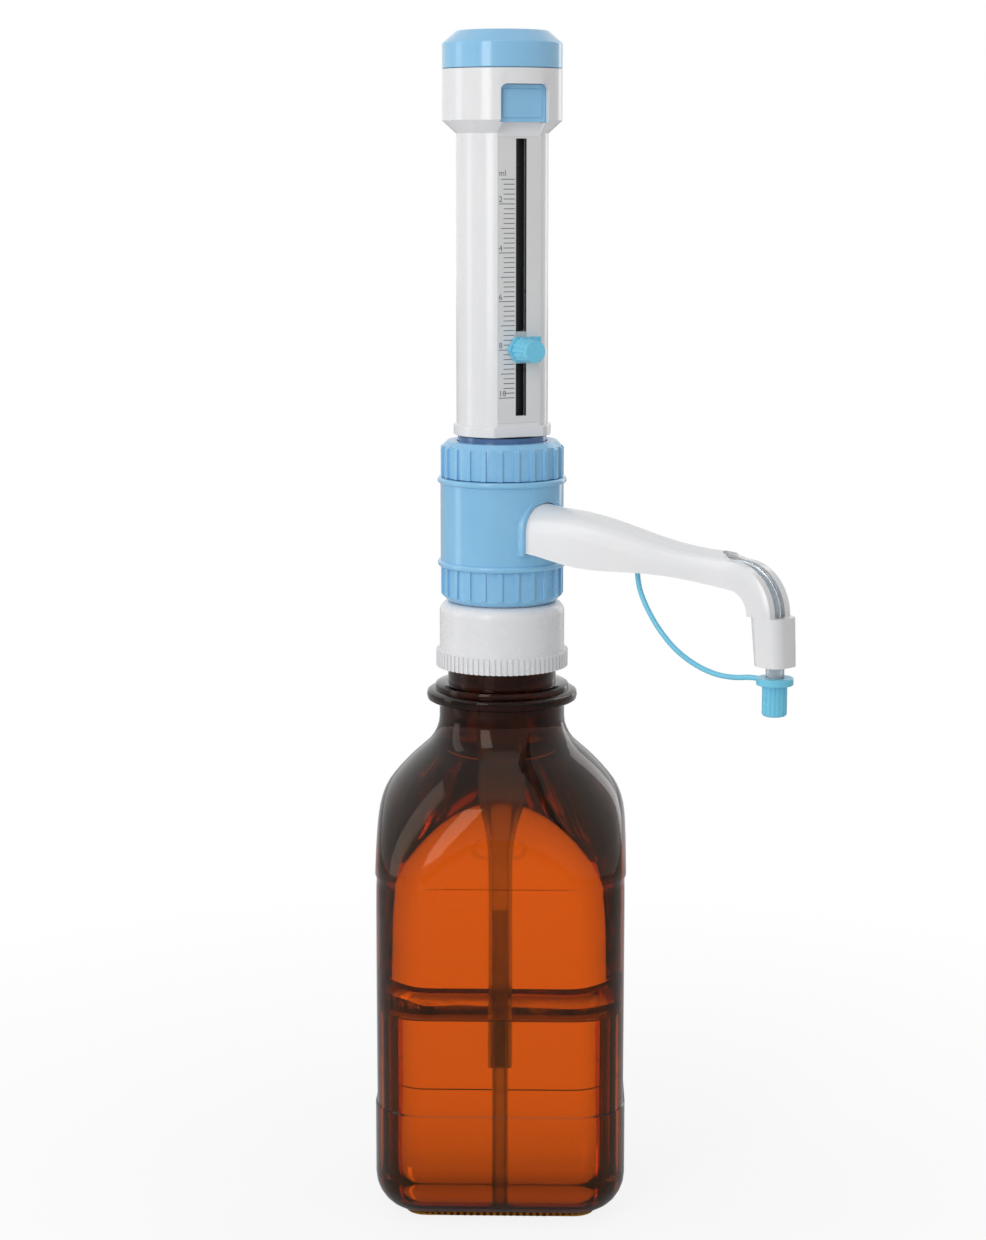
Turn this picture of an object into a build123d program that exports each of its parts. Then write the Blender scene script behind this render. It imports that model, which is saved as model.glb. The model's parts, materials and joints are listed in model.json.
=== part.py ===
from build123d import *
from math import cos, pi, radians, sin, sqrt
import os

# A 10 mL bottle-top dispenser on its one-litre amber bottle.
# Origin: centre of the bottle's foot. +Z up along the piston, +X along the discharge arm.
# Lengths are millimetres, angles degrees.

os.makedirs("parts", exist_ok=True)

# Gaps between pieces, and how far cuts and joins run on
running_gap = 0.08           # pieces that slide or turn on each other
seat_gap = 0.05              # pieces that seat on each other
thread_gap = 0.15            # a thread and its nut, both drawn plain
lap = 0.5                    # joined solids run into each other by this
past = 1.0                   # a cut runs this far past the face it opens
reach = 40.0                 # half size of a cutting block, beyond every upper piece
hair = 0.01                  # keeps two cuts from ending on one face

# Bottle
bottle_half = 49.0           # half the width over the flat sides
bottle_corner = 20.0         # radius of the upright corners
bottle_turn = 47.0           # how far the flat sides are turned from the arm
body_top = 153.0             # where the flat sides start to dome over
shoulder_height = 42.0
neck_height = 32.6           # shoulder to rim
glass_wall = 3.0
base_glass = 5.0             # inside floor above the bench
base_corner = 12.0
foot_width = 4.0             # flat ring that touches the bench
foot_height = 1.2
label_bottom = 44.5          # the label field is sunk a little into the four sides
label_margin = 17.0          # its upper edge below the dome
label_depth = 0.65
neck_radius = 24.6
neck_wall = 3.7              # under the thread
thread_root_radius = 21.2
transfer_ring_out = 8.4      # wide carrying ring, out from the thread's root
transfer_ring_drop = 27.3    # its lower face below the rim
transfer_ring_thick = 4.5
guard_ring_out = 5.1
guard_ring_thick = 2.6
# share of the shoulder's height, share of the widening from neck to body that is left there
shoulder_steps = ((0.20, 0.98), (0.37, 0.90), (0.51, 0.71), (0.65, 0.40), (0.78, 0.17), (0.90, 0.045))
least_flat = 0.2             # a rounded square keeps at least this much straight edge

# Screw adapter on the bottle thread
seal_thick = 1.2
thread_depth = 1.8
adapter_wall = 1.45
adapter_drop = 13.4          # how far the skirt hangs below the bottle's rim
adapter_roof = 11.0
adapter_shoulder = 4.2
grip_flange_out = 1.4
grip_flange_height = 6.3
grip_teeth = 72
grip_tooth_depth = 0.7
spigot_radius = 19.4         # threaded spigots at both ends of the valve block
spigot_height = 7.8
adapter_hole = 13.0

# Valve block and its two ribbed nuts
block_radius = 24.0
block_height = 30.2          # between its two beads
bead_out = 1.1
bead_height = 2.3
foot_flange_inset = 0.4      # rim of the block's foot inside the spigot's
foot_flange_height = 4.0
block_neck_radius = 17.2
nut_web = 2.0
nut_gap = 0.3                # free height between a nut and the piece beside it
nut_wall = 3.55
nut_rib_height = 0.85
nut_rib_width = 1.9
nut_ribs = 23
nut_chamfer = 2.6
upper_nut_height = 13.8
upper_spigot_height = 8.4

# Filling valve, tubes and balls
valve_plug_radius = 7.6
valve_shank_radius = 6.0
valve_shank_drop = 8.0       # shank's lower end below the block
barb_drop = 5.0              # barb's lower end below the adapter's roof
barb_radius = 3.15
barb_bore = 1.7
barb_pitch = 3.0
barb_depth = 0.4
barb_steps = 3
filling_seat_rise = 8.0      # seat above the block's foot
filling_ball_radius = 2.5
ball_lift = 1.0
ball_gap = 0.02              # between a ball and its seat or its stop's edge
ball_room = 0.5              # round the ball in its chamber
chamber_gap = 0.1            # over a lifted ball
filling_tube_radius = 4.7
filling_tube_bore = 3.2
filling_tube_end = 59.5
suction_tube_radius = 3.1
suction_tube_bore = 2.1
suction_tube_gap = 3.0       # its tip above the bottle's inside floor
suction_tube_slant = 25.0
suction_tube_overlap = 62.0

# Measuring cylinder, guide sleeve and piston
stroke_per_ml = 9.14
full_volume = 10.0
set_volume = 8.0
cylinder_rise = 23.0         # seat of the cylinder's seal above the block's foot
cylinder_seal_thick = 1.2
cylinder_bore = 5.9
cylinder_wall = 2.0
cylinder_drop = 2.0          # top of the glass below the stop
piston_length = 11.0
piston_clearance = 0.06
piston_rise = 2.0            # piston above the cylinder's floor at rest
piston_face = 4.0            # solid end of the piston under the rod
piston_seal_width = 1.6
piston_seal_depth = 0.9
piston_seal_margin = 2.0     # from either end of the piston
rod_radius = 3.0
rod_above_nut = 3.0
guide_room = 1.0             # round the glass
guide_wall = 2.4
guide_flange_inset = 0.8     # its rim inside the spigot's
guide_flange_height = 3.3
stop_collar_height = 4.0
stop_collar_drop = 6.0       # its skirt inside the guide
stop_collar_play = 0.4       # round the piston's rod
nut_lip = 1.0                # the upper nut's hold on the guide's flange
rest_ring_gap = 0.4
rest_ring_height = 4.35

# Plunger
scale_turn = -21.0           # the scale faces this far round from the arm
clamp_room = 2.2             # between guide and plunger, where the clamp plate runs
sleeve_wall = 4.2
flat_depth = 2.4             # how deep the scale's flat is cut into the sleeve
ring_out = 1.1
ring_flat_out = 0.5
ring_height = 4.1
ring_spigot = 2.0
rest_gap = 0.5               # free height between the rest ring and the plunger
slot_width = 4.4
slot_offset = 1.0            # the slot stands a little right of the scale's middle
slot_low = 4.1               # slot's ends from the ends of the sleeve
slot_high = 2.0
zero_below_slot = 6.0        # the zero mark below the slot's upper end
full_above_slot = 7.0        # the last mark above the slot's lower end
strip_edge = 0.5             # each side of the strip
strip_thick = 0.6
strip_margin = 1.4
sleeve_spigot_wall = 1.2
sleeve_spigot_height = 5.0
head_radius = 22.95
head_wall = 2.6
head_cone = 4.8
head_height = 19.1           # straight part of the head
head_web = 2.0
head_cavity = 14.0
head_floor_gap = 0.1
cap_socket_depth = 4.5
cap_height = 14.15
cap_chamfer_height = 4.7
cap_chamfer_width = 5.5
cap_wall = 2.2
cap_seam = 0.2
cover_half = 9.75
cover_height = 13.9
cover_sill = 0.8             # cover's lower edge below the top of the cone
cover_inset = 4.4            # its face inside the head's surface
cover_depth = 1.9
cover_gap = 0.15
cover_corner = 2.2
cover_panel_margin = 1.6
cover_panel_rise = 0.45
cover_lip_reach = 3.0
cover_lip_thick = 1.1
cover_lip_gap = 0.1
window_half = 4.8
window_height = 8.4
window_rise = 3.0
calibration_radius = 8.8
calibration_height = 7.0
calibration_teeth = 32
calibration_gap = 0.6

# Volume pointer
block_up = 6.8               # slider above and below the pointer's tip
block_down = 5.25
slider_play = 0.15
clamp_ear = 2.25             # clamp plate past each side of the slot
clamp_gap = 0.25
plate_thick = 2.0
plate_gap = 0.2
plate_half_height = 4.85
plate_tip = -5.1
plate_shoulder = -2.0
plate_right = 8.5
knob_gap = 0.25
knob_length = 10.8
knob_radius = 4.9
knob_face_radius = 4.15
knob_flutes = 14
knob_flute_radius = 0.55
knob_flute_start = 0.8       # plain rim at the knob's face
stud_radius = 1.4
stud_end = 0.3               # stud's inner end from the clamp plate's inside
stud_reach = 5.0             # into the knob

# Discharge arm
arm_root = 20.0
# share of the straight stretch, half width, underside and top above the block's foot
arm_profile = ((0.0, 10.65, 13.7, 33.0), (0.16, 10.25, 12.4, 31.5), (0.32, 9.75, 11.0, 30.4),
               (0.507, 8.85, 11.7, 27.4), (0.72, 7.5, 12.3, 24.1), (0.865, 6.9, 11.6, 23.2))
strap_station = 3            # the section whose floor holds the strap's anchor
arm_wall = 2.2
arm_arch = 0.95              # height of the round back over its half width
nozzle_reach = 137.3         # piston axis to nozzle axis
bend_radius = 16.7           # of the tube's centre line
bend_half = 6.8
bend_under = 8.0             # centre line to the inside of the bend
bend_over = 4.95             # centre line to the back of the bend
window_over = 1.9            # the back is planed down to this far over the centre line
window_scoop = 6.0
discharge_tube_radius = 2.5
discharge_tube_bore = 1.5
tube_play = 0.3
tube_seat = 4.0              # tube's end inside the nozzle
channel_rise = 18.5          # discharge tube's height above the block's foot
spout_length = 17.6
spout_size = 12.9            # at its lower end
spout_corner = 4.2
spout_lean = 1.3             # the spout's lower end stands this much further out
nozzle_radius = 3.35
nozzle_bore = 1.7
nozzle_length = 26.2
nozzle_drop = 12.4           # below the spout
boss_margin = 1.7            # raised frame round the arm's root
boss_reach = 23.3
boss_root = 6.0
boss_edge = 0.5

# Discharge valve and outlet
discharge_valve_x = 14.0
discharge_valve_radius = 4.2
discharge_valve_floor = 2.0  # below the feed bore's centre line
discharge_valve_roof = 3.0
discharge_plug_height = 5.0
discharge_ball_radius = 1.9
feed_bore = 1.2
feed_rise = 16.0             # cross channel above the block's foot
seat_land = 0.3
nipple_flange_radius = 3.0
nipple_radius = 1.45
nipple_bore = 0.9
nipple_reach = 34.0
nipple_overlap = 7.0         # of the discharge tube over the nipple

# Tip cap
cap_flange_radius = 6.7
cap_flange_height = 2.65
tip_cap_radius = 4.5
tip_cap_height = 14.0
tip_cap_wall = 1.0
tip_cap_round = 1.2
tip_cap_flutes = 16
tip_cap_flute_radius = 0.45
tip_cap_flute_out = 0.15
tip_cap_gap = 4.25           # spout to the cap's flange
small_round = 0.4

# Strap of the tip cap, from inside the arm's underside to the cap's flange
strap_radius = 1.0
strap_hole = 1.25
anchor_radius = 2.4
anchor_thick = 1.2
strap_points = [(71.0, 0, 261.55), (71.0, 0, 254.5), (75.5, 0, 245.9), (82.0, 0, 238.1), (90.1, 0, 231.5),
                (99.7, 0, 227.1), (109.7, 0, 224.8), (119.2, 0, 224.9), (125.7, 0, 226.2), (130.55, 0, 226.2)]

# Radii worked out from the thread and the glass outwards
mouth_radius = thread_root_radius - neck_wall
transfer_ring_radius = thread_root_radius + transfer_ring_out
guard_ring_radius = thread_root_radius + guard_ring_out
adapter_bore = thread_root_radius + thread_depth
adapter_radius = adapter_bore + adapter_wall
grip_flange_radius = adapter_radius + grip_flange_out
bead_radius = block_radius + bead_out
foot_flange_radius = spigot_radius - foot_flange_inset
nut_bore = spigot_radius + thread_gap
nut_body_radius = nut_bore + nut_wall
nut_rib_radius = nut_body_radius + nut_rib_height
guide_flange_radius = spigot_radius - guide_flange_inset
upper_nut_hole = guide_flange_radius - nut_lip
rest_ring_radius = upper_nut_hole - rest_ring_gap
cylinder_radius = cylinder_bore + cylinder_wall
guide_bore = cylinder_radius + guide_room
guide_radius = guide_bore + guide_wall
sleeve_bore = guide_radius + clamp_room
sleeve_radius = sleeve_bore + sleeve_wall
sleeve_flat = sleeve_radius - flat_depth
sleeve_spigot_radius = sleeve_bore + sleeve_spigot_wall
flat_half = sqrt(sleeve_radius**2 - sleeve_flat**2)
strip_half = flat_half - strip_edge
ring_radius = sleeve_radius + ring_out
ring_flat = sleeve_flat + ring_flat_out
clamp_inner = guide_radius + clamp_gap
clamp_outer = sleeve_bore - clamp_gap
plate_back = sleeve_flat + plate_gap
knob_base = plate_back + plate_thick + knob_gap
cap_socket_radius = head_radius - head_wall
cap_top_radius = head_radius - cap_chamfer_width
cover_face = head_radius - cover_inset
cover_back = cover_face - cover_depth
channel = discharge_tube_radius + tube_play

# Heights worked out from the bench upwards
neck_low = body_top + shoulder_height
bottle_height = neck_low + neck_height
transfer_ring_low = bottle_height - transfer_ring_drop
label_top = body_top - label_margin
suction_tube_end = base_glass + suction_tube_gap
adapter_low = bottle_height - adapter_drop
adapter_roof_low = bottle_height + seal_thick
adapter_top = adapter_roof_low + adapter_roof
block_foot = adapter_top + spigot_height
block_low = block_foot + foot_flange_height + nut_web + 2 * running_gap
bead_top = block_low + bead_height
upper_bead = bead_top + block_height
block_top = upper_bead + bead_height
upper_spigot_top = block_top + upper_spigot_height
guide_flange_top = upper_spigot_top + guide_flange_height
upper_nut_top = block_top + nut_gap + upper_nut_height
rest_top = guide_flange_top + rest_ring_height
plunger_low = rest_top + rest_gap
sleeve_low = plunger_low + ring_height
slot_bottom = sleeve_low + slot_low
slot_top = slot_bottom + full_above_slot + full_volume * stroke_per_ml + zero_below_slot
sleeve_top = slot_top + slot_high
zero_height = slot_top - zero_below_slot
tip_height = zero_height - set_volume * stroke_per_ml
stop_height = zero_height + block_up + running_gap
seal_low = block_foot + cylinder_rise
cylinder_low = seal_low + cylinder_seal_thick
cylinder_top = stop_height - cylinder_drop
piston_low = cylinder_low + piston_rise
piston_top = piston_low + piston_length
cone_top = sleeve_top + head_cone
head_top = cone_top + head_height
cap_socket_low = head_top - cap_socket_depth
cover_low = cone_top - cover_sill
web_low = sleeve_top + sleeve_spigot_height + head_floor_gap
web_top = web_low + head_web
calibration_low = web_top + calibration_gap
tube_height = block_foot + channel_rise
feed_height = block_foot + feed_rise
spout_low = tube_height - bend_radius - spout_length
nozzle_low = spout_low - nozzle_drop
nozzle_top = nozzle_low + nozzle_length
tip_cap_top = spout_low - tip_cap_gap
tip_cap_low = tip_cap_top - tip_cap_height

# Centre of the arm's bend, and the arm's sections as (x, half width, underside, top)
pivot_x = nozzle_reach - bend_radius
pivot_z = tube_height - bend_radius
arm_stations = [(arm_root + share * (pivot_x - arm_root), half, block_foot + low, block_foot + high)
                for share, half, low, high in arm_profile]
bend_station = (pivot_x, bend_half, tube_height - bend_under, tube_height + bend_over)
strap_x = arm_stations[strap_station][0]
anchor_low = arm_stations[strap_station][2] + arm_wall + 3 * seat_gap


def turned(*points):
    """Solid turned about the main axis from (radius, height) points."""
    return revolve(make_face(Plane.XZ * Polyline(*points, close=True)), Axis.Z)


def pipe(outer, inner, low, high):
    """Upright tube on the main axis."""
    return turned((inner, low), (outer, low), (outer, high), (inner, high))


def rod(radius, low, high):
    """Upright round bar on the main axis."""
    return Pos(0, 0, (low + high) / 2) * Cylinder(radius, high - low)


def bar_along_x(radius, start, end, height):
    """Round bar along the arm."""
    return Pos((start + end) / 2, 0, height) * Rot(0, 90, 0) * Cylinder(radius, end - start)


def bar_along_y(radius, x, z, half):
    """Round bar across the arm."""
    return Pos(x, 0, z) * Rot(90, 0, 0) * Cylinder(radius, 2 * half)


def cuboid(x, y, z):
    """Rectangular solid from three (low, high) spans."""
    return Pos(sum(x) / 2, sum(y) / 2, sum(z) / 2) * Box(x[1] - x[0], y[1] - y[0], z[1] - z[0])


def square(half, corner):
    """Square with rounded corners."""
    return RectangleRounded(2 * half, 2 * half, corner)


def round_edges(shape):
    return shape.edges().filter_by(GeomType.CIRCLE)


def to_scale(shape):
    """Turn a piece drawn with the scale face on +X round to where the scale faces."""
    return Rot(0, 0, scale_turn) * shape


def save(name, shape):
    export_step(shape, f"parts/{name}.step")


def bottle_body(inset, floor):
    """Rounded-square body that domes over into a round neck, drawn in by inset."""
    flat = bottle_half - bottle_corner
    outline = square(bottle_half - inset, bottle_corner - inset)
    body = extrude(Plane.XY.offset(floor) * outline, body_top - floor)
    body = fillet(body.faces().sort_by(Axis.Z)[0].edges(), base_corner - inset)
    sections = [Plane.XY.offset(body_top) * outline]
    for rise, share in shoulder_steps:
        half = neck_radius + (bottle_half - neck_radius) * share - inset
        section = square(half, half - flat * share**2 - least_flat)
        sections.append(Plane.XY.offset(body_top + rise * shoulder_height) * section)
    sections.append(Plane.XY.offset(neck_low) * square(neck_radius - inset, neck_radius - inset - least_flat))
    return body + loft(sections)


def neck_ring(radius, low, high, round_share):
    ring = pipe(radius, thread_root_radius - past, low, high)
    rim = round_edges(ring).group_by(SortBy.RADIUS)[-1]
    return fillet(rim, (high - low) * round_share)


def make_bottle():
    outside = bottle_body(0, foot_height)
    wide = (-bottle_half - past, bottle_half + past)
    field = extrude(Plane.XY.offset(label_bottom) * square(bottle_half - label_depth, bottle_corner),
                    label_top - label_bottom)
    outside -= cuboid(wide, wide, (label_bottom, label_top)) - field
    foot_half = bottle_half - base_corner + lap
    foot = square(foot_half, bottle_corner) - square(foot_half - foot_width, bottle_corner - foot_width)
    outside += extrude(foot, foot_height + lap)
    outside += turned((0, neck_low - past), (neck_radius, neck_low - past), (neck_radius, transfer_ring_low),
                      (thread_root_radius, transfer_ring_low), (thread_root_radius, bottle_height),
                      (0, bottle_height))
    guard_low = transfer_ring_low + transfer_ring_thick
    outside += neck_ring(transfer_ring_radius, transfer_ring_low, guard_low, 0.45)
    outside += neck_ring(guard_ring_radius, guard_low, guard_low + guard_ring_thick, 0.4)
    inside = bottle_body(glass_wall, base_glass)
    inside += rod(neck_radius - glass_wall, neck_low - past, transfer_ring_low - 2 * past)
    inside += rod(mouth_radius, neck_low, bottle_height + past)
    return Rot(0, 0, bottle_turn) * (outside - inside)


def make_adapter():
    body = rod(adapter_radius, adapter_low, adapter_top)
    body = fillet(body.faces().sort_by(Axis.Z)[-1].edges(), adapter_shoulder)
    notch = Rectangle(2 * grip_tooth_depth, pi * grip_flange_radius / grip_teeth)
    grip = Circle(grip_flange_radius) - PolarLocations(grip_flange_radius, grip_teeth) * notch
    body += extrude(Plane.XY.offset(adapter_low) * grip, grip_flange_height)
    body += rod(spigot_radius, adapter_top - past, block_foot - seat_gap)
    body -= rod(adapter_bore, adapter_low - past, adapter_roof_low)
    return body - rod(adapter_hole, adapter_low, block_foot)


def ribbed_nut(low, high, envelope):
    """Thumb nut: a plain drum with straight ribs, cut to a bevelled envelope."""
    ribs = PolarLocations(nut_body_radius, nut_ribs) * Rectangle(2 * nut_rib_height, nut_rib_width)
    return extrude(Plane.XY.offset(low) * (Circle(nut_body_radius) + ribs), high - low) & turned(*envelope)


def make_mounting_nut():
    low = adapter_top + lap
    web = block_foot + foot_flange_height + running_gap
    high = web + nut_web
    nut = ribbed_nut(low, high, [(0, low), (nut_rib_radius - nut_chamfer, low), (nut_rib_radius, low + nut_chamfer),
                                 (nut_rib_radius, high), (0, high)])
    nut -= rod(nut_bore, low - past, web)
    return nut - rod(block_neck_radius + running_gap, web - past, high + past)


def make_cylinder_nut():
    low = block_top + nut_gap
    high = upper_nut_top
    nut = ribbed_nut(low, high, [(0, low), (nut_rib_radius, low), (nut_rib_radius, high - nut_chamfer),
                                 (nut_rib_radius - nut_chamfer, high), (0, high)])
    nut -= rod(nut_bore, low - past, guide_flange_top + running_gap)
    return nut - rod(upper_nut_hole, low, high + past)


def arm_section(half, low, high):
    """Arm's profile: a flat underside, upright sides and a round back."""
    spring = high - arm_arch * half
    sides = Polyline((-half, spring), (-half, low), (half, low), (half, spring))
    return make_face(sides + ThreePointArc((half, spring), (0, high), (-half, spring)))


def across(x):
    """Plane across the arm, with its own x along Y and its own y up."""
    return Plane(origin=(x, 0, 0), x_dir=(0, 1, 0), z_dir=(1, 0, 0))


def arm_loft(inset, stations):
    return loft([across(x) * arm_section(half - inset, low + inset, high - inset)
                 for x, half, low, high in stations])


def make_valve_block():
    body = pipe(block_radius, 0, bead_top - lap, upper_bead + lap)
    for low in (block_low, upper_bead):
        body += fillet(round_edges(rod(bead_radius, low, low + bead_height)), small_round * bead_height)
    body += rod(foot_flange_radius, block_foot, block_foot + foot_flange_height)
    body += rod(block_neck_radius, block_foot, block_low + lap)
    body += rod(spigot_radius, block_top - lap, upper_spigot_top)
    root_x, half, low, high = arm_stations[0]
    boss = across(root_x - boss_root) * arm_section(half + boss_margin, low - boss_margin / 2, high + boss_margin)
    boss = extrude(boss, boss_reach - root_x + boss_root)
    body += fillet(boss.faces().sort_by(Axis.X)[-1].edges(), boss_edge)
    body -= arm_loft(-seat_gap, arm_stations[:2])
    body -= rod(valve_plug_radius + seat_gap, block_foot - past, seal_low - past)
    body -= rod(cylinder_bore, block_foot, cylinder_low)
    body -= rod(cylinder_radius + seat_gap, seal_low, upper_spigot_top + past)
    valve = rod(discharge_valve_radius + seat_gap, feed_height - discharge_valve_floor, upper_spigot_top + past)
    body -= Pos(discharge_valve_x, 0, 0) * valve
    body -= bar_along_x(feed_bore, 0, discharge_valve_x, feed_height)
    return body - bar_along_x(nipple_flange_radius + seat_gap, discharge_valve_x, root_x, tube_height)


def make_filling_valve():
    """Screw-in valve: barb for the tube, ball seat, cage and side outlet."""
    barb_low = adapter_roof_low - barb_drop
    top = seal_low - past - seat_gap
    seat = block_foot + filling_seat_rise
    ball = seat + sqrt(filling_ball_radius**2 - barb_bore**2) + ball_gap
    chamber_top = ball + filling_ball_radius + ball_lift + chamber_gap
    body = rod(valve_plug_radius, block_foot, top) + rod(barb_radius, barb_low, block_foot)
    for step in range(barb_steps):
        low = barb_low + barb_pitch * step
        high = low + barb_pitch * 2 / 3
        body += turned((0, low), (barb_radius - barb_depth, low), (barb_radius + barb_depth / 10, high), (0, high))
    body += rod(valve_shank_radius, block_foot - valve_shank_drop, block_foot)
    body -= rod(barb_bore, barb_low - past, seat)
    body -= rod(filling_ball_radius + ball_room, seat, chamber_top)
    body -= rod(feed_bore, chamber_top - past, top + past)
    save("filling_ball", Pos(0, 0, ball) * Sphere(filling_ball_radius))
    return body - bar_along_x(feed_bore, 0, valve_plug_radius + past, feed_height)


def make_discharge_valve():
    """Upright insert beside the cylinder: ball seat, chamber and side outlet to the arm."""
    seat = feed_height + feed_bore + seat_land
    ball = seat + sqrt(discharge_ball_radius**2 - feed_bore**2) + ball_gap
    chamber_top = ball + discharge_ball_radius + ball_lift + chamber_gap
    top = chamber_top + discharge_valve_roof
    body = rod(discharge_valve_radius, feed_height - discharge_valve_floor, top)
    body -= rod(feed_bore, feed_height, seat)
    body -= bar_along_x(feed_bore, -discharge_valve_radius - past, 0, feed_height)
    body -= rod(discharge_ball_radius + ball_room, seat, chamber_top)
    body -= bar_along_x(feed_bore, 0, discharge_valve_radius + past, tube_height)
    at_valve = Pos(discharge_valve_x, 0, 0)
    save("discharge_ball", at_valve * Pos(0, 0, ball) * Sphere(discharge_ball_radius))
    plug = rod(discharge_valve_radius, top + seat_gap, top + seat_gap + discharge_plug_height)
    save("discharge_valve_plug", at_valve * plug)
    return at_valve * body


def make_outlet_nipple():
    start = discharge_valve_x + discharge_valve_radius + 2 * seat_gap
    body = bar_along_x(nipple_flange_radius, start, arm_root - seat_gap, tube_height)
    body += bar_along_x(nipple_radius, start, nipple_reach, tube_height)
    return body - bar_along_x(nipple_bore, start - past, nipple_reach + past, tube_height)


def make_suction_tube():
    """Inner tube, cut at a slant at its lower end, that slides in the filling tube."""
    top = filling_tube_end + suction_tube_overlap
    tube = pipe(suction_tube_radius, suction_tube_bore, suction_tube_end, top)
    below = cuboid((-reach, reach), (-reach, reach), (-reach, 0))
    return tube - Pos(-suction_tube_radius, 0, suction_tube_end) * Rot(0, -suction_tube_slant, 0) * below


def round_bend(face):
    """Turn a face that stands across the arm at the bend's centre through the bend."""
    return revolve(across(pivot_x) * face, Axis((pivot_x, 0, pivot_z), (0, 1, 0)), 90)


def make_arm():
    """Hollow tapering moulding that bends down into a square spout, open along the bend's back."""
    arm = arm_loft(0, arm_stations + [bend_station]) + round_bend(arm_section(*bend_station[1:]))
    arm += loft([Pos(nozzle_reach, 0, spout_low) * square(spout_size / 2, spout_corner),
                 Pos(nozzle_reach - spout_lean, 0, pivot_z) * square(bend_half, spout_corner)])
    arm -= arm_loft(arm_wall, arm_stations)

    # the back of the bend is planed down to a scoop and two cheeks
    quarter = cuboid((pivot_x, pivot_x + reach), (-reach, reach), (pivot_z + hair, pivot_z + reach))
    window_radius = bend_radius + window_over
    planed = bar_along_y(reach, pivot_x, pivot_z, reach / 2) - bar_along_y(window_radius, pivot_x, pivot_z, reach)
    arm -= planed & quarter
    arm -= bar_along_y(window_scoop, pivot_x, pivot_z + window_radius + window_scoop, reach / 2)

    # channel for the tube, open outwards round the bend
    start = pivot_x - window_scoop + channel / 2
    arm -= bar_along_x(channel, arm_stations[-1][0] - 3 * past, pivot_x, tube_height)
    arm -= Pos(start, 0, 0) * rod(channel, tube_height, tube_height + reach)
    arm -= cuboid((start, pivot_x + hair), (-channel, channel), (tube_height, tube_height + reach))
    trough = bar_along_y(reach, pivot_x, pivot_z, channel) - bar_along_y(bend_radius, pivot_x, pivot_z, reach)
    arm -= trough & quarter
    arm -= round_bend(Pos(0, tube_height) * Circle(channel))
    arm -= Pos(nozzle_reach, 0, 0) * rod(channel, nozzle_top - past, pivot_z + hair)
    arm -= Pos(nozzle_reach, 0, 0) * rod(nozzle_radius + seat_gap, spout_low - past, nozzle_top + seat_gap)
    return arm - Pos(strap_x, 0, 0) * rod(strap_hole, block_foot, tube_height)


def make_discharge_tube():
    ring = Circle(discharge_tube_radius) - Circle(discharge_tube_bore)
    start = nipple_reach - nipple_overlap
    tube = extrude(across(start) * Pos(0, tube_height) * ring, pivot_x - start)
    tube += round_bend(Pos(0, tube_height) * ring)
    return tube + Pos(nozzle_reach, 0, 0) * pipe(discharge_tube_radius, discharge_tube_bore, nozzle_top - tube_seat,
                                                 pivot_z)


def make_nozzle():
    body = pipe(nozzle_radius, nozzle_bore, nozzle_low, nozzle_top)
    body -= rod(discharge_tube_radius + seat_gap, nozzle_top - tube_seat - seat_gap, nozzle_top + past)
    return Pos(nozzle_reach, 0, 0) * body


def make_tip_cap():
    flange_low = tip_cap_top - cap_flange_height
    body = rod(tip_cap_radius, tip_cap_low, flange_low + lap)
    body = fillet(body.faces().sort_by(Axis.Z)[0].edges(), tip_cap_round)
    flute = rod(tip_cap_flute_radius, tip_cap_low - past, flange_low)
    body -= PolarLocations(tip_cap_radius + tip_cap_flute_out, tip_cap_flutes) * flute
    body += fillet(round_edges(rod(cap_flange_radius, flange_low, tip_cap_top)), small_round)
    body -= rod(nozzle_radius + seat_gap, tip_cap_low + tip_cap_wall, tip_cap_top + past)
    return Pos(nozzle_reach, 0, 0) * body


def make_strap():
    """Limp strap as straight runs joined by arcs as wide as the runs allow."""
    points = [Vector(*point) for point in strap_points]
    radii = []
    for before, at, after in zip(points, points[1:], points[2:]):
        turn = radians((at - before).get_angle(after - at))
        radii.append(0.45 * min((at - before).length, (after - at).length) * cos(turn / 2) / sin(turn / 2))
    path = FilletPolyline(*points, radius=radii)
    print("strap length", round(path.length, 1), "radii", [round(radius, 1) for radius in radii])
    start = Plane(origin=points[0], z_dir=points[1] - points[0])
    strap = sweep(start * Circle(strap_radius), path=path)
    print("strap volume over section times length", strap.volume / (pi * strap_radius**2 * path.length))
    return strap


def make_guide_sleeve():
    flange = pipe(guide_flange_radius, guide_bore, upper_spigot_top, guide_flange_top)
    return flange + pipe(guide_radius, guide_bore, upper_spigot_top, stop_height)


def make_stop_collar():
    """Cap of the guide sleeve: stops the pointer, guides the plunger and centres the glass."""
    skirt_low = stop_height - stop_collar_drop
    collar = rod(sleeve_bore - running_gap, stop_height, stop_height + stop_collar_height)
    collar += rod(guide_bore - seat_gap, skirt_low, stop_height)
    collar -= rod(cylinder_radius + seat_gap, skirt_low - past, cylinder_top + seat_gap)
    return collar - rod(rod_radius + stop_collar_play, skirt_low, stop_height + stop_collar_height + past)


def slot_cut():
    """Space of the pointer's slot, from the bore outwards."""
    side = (slot_offset - slot_width / 2, slot_offset + slot_width / 2)
    return cuboid((guide_radius, reach), side, (slot_bottom, slot_top))


def strip_plate(gap):
    """Block where the scale strip lies, grown by gap, from its back outwards."""
    side = (-strip_half - gap, strip_half + gap)
    height = (sleeve_low + strip_margin - gap, slot_top + strip_margin / 2 + gap)
    return cuboid((sleeve_flat - strip_thick, reach), side, height)


def make_sleeve():
    body = turned((sleeve_bore, sleeve_low), (sleeve_radius, sleeve_low), (sleeve_radius, sleeve_top),
                  (sleeve_spigot_radius, sleeve_top), (sleeve_spigot_radius, sleeve_top + sleeve_spigot_height),
                  (sleeve_bore, sleeve_top + sleeve_spigot_height))
    body -= cuboid((sleeve_flat, reach), (-reach, reach), (sleeve_low - past, sleeve_top))
    return to_scale(body - slot_cut() - strip_plate(seat_gap))


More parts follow.
